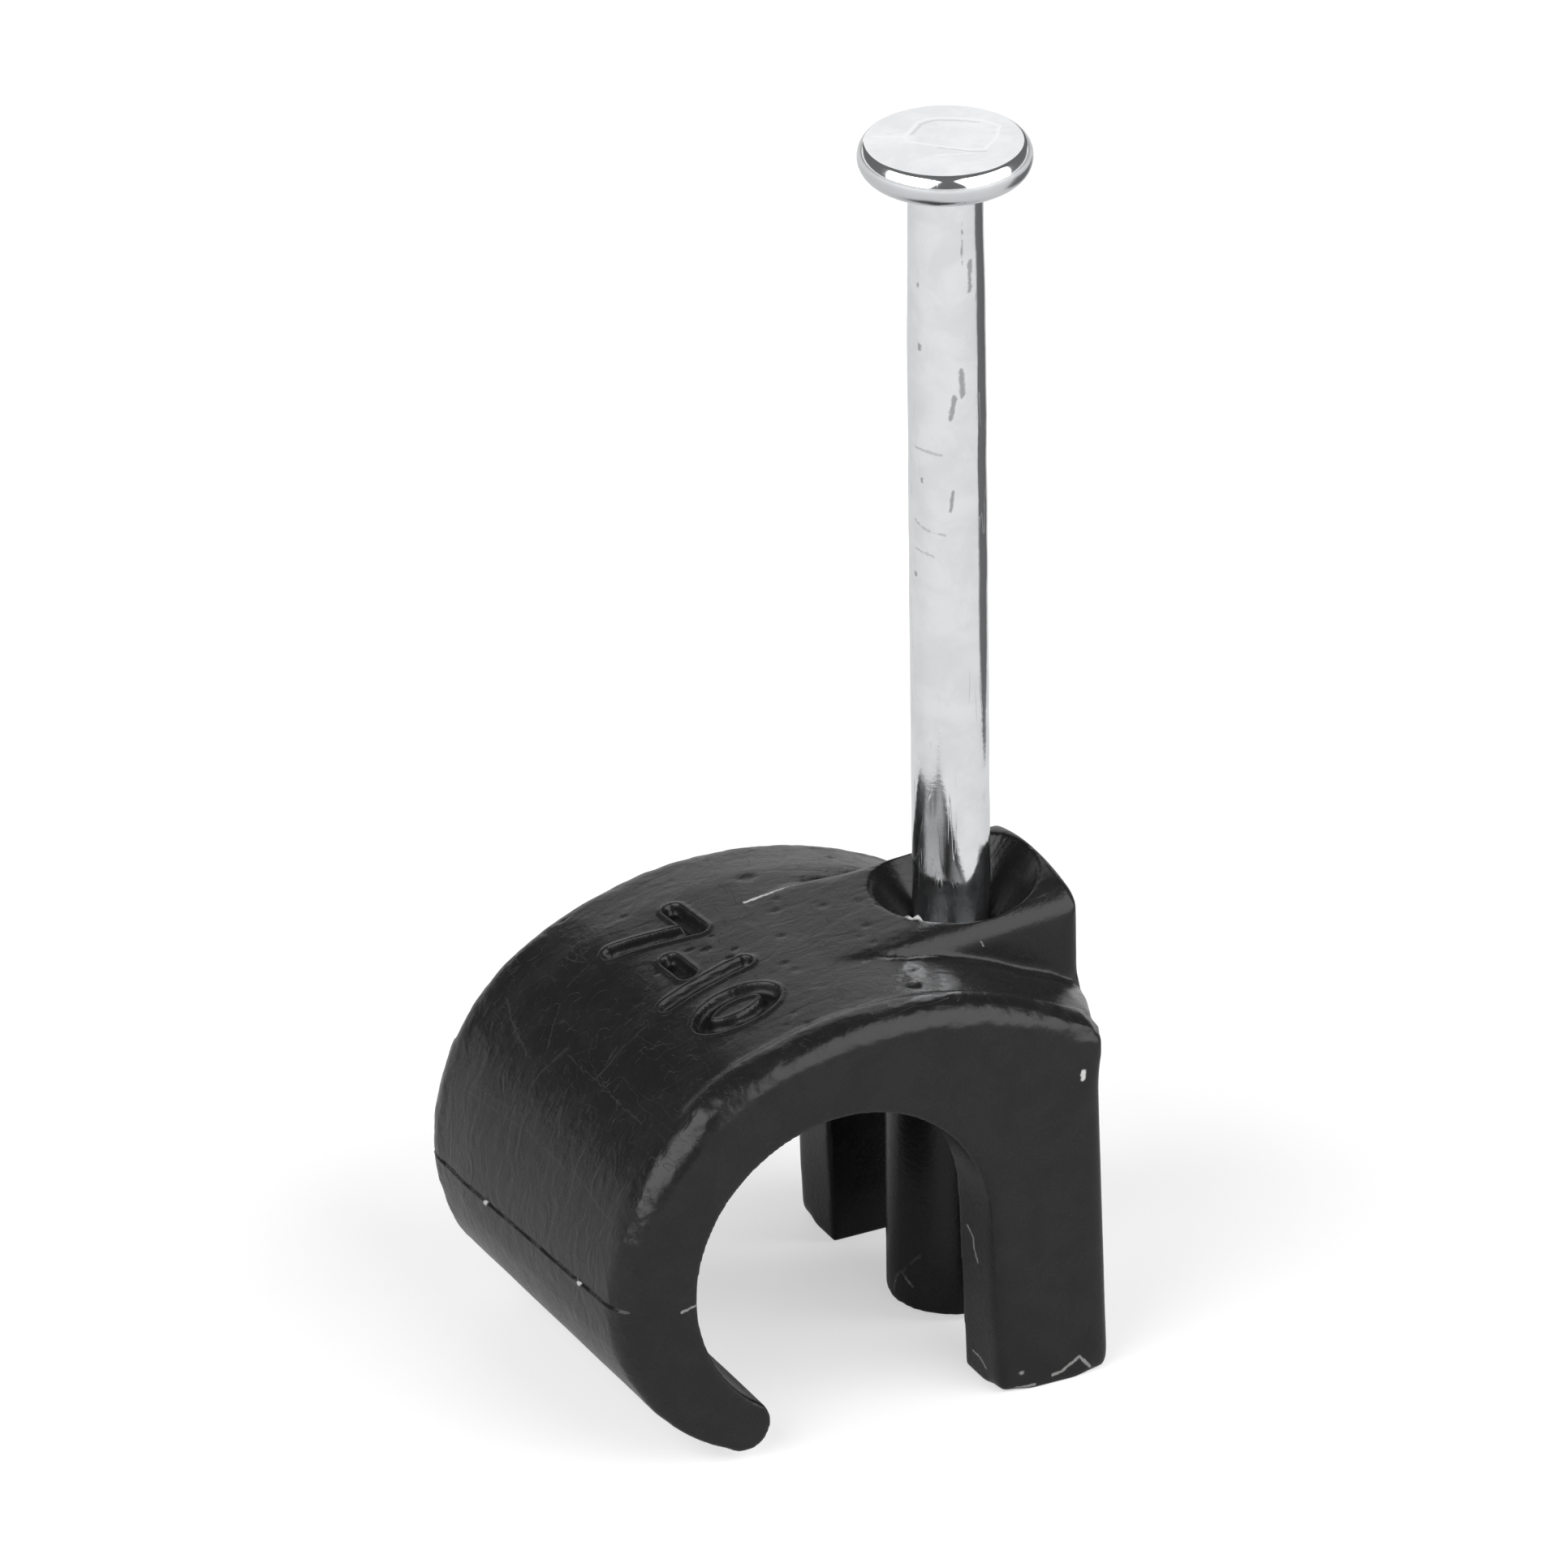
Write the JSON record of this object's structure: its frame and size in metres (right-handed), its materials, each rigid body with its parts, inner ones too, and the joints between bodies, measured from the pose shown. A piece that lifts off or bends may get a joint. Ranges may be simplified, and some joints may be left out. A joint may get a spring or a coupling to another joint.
{
  "type": "nail-in cable clip",
  "caption": "Moulded hook clip that holds a round cable against a wall, with a flat-headed nail standing ready in its dished boss.",
  "frame": {"origin": "middle of the footprint, on the wall plane that both feet stand on", "axes": "+Z away from the wall along the nail, Y along the cable, +X from the hook to the nail's side"},
  "size_m": [0.0148, 0.0114, 0.0329],
  "materials": {
    "clip_plastic": "satin black moulded plastic",
    "nail_zinc": "bright zinc-plated steel"
  },
  "bodies": {
    "root": {"clip_body": "clip_plastic", "nail": "nail_zinc"}
  },
  "joints": []
}
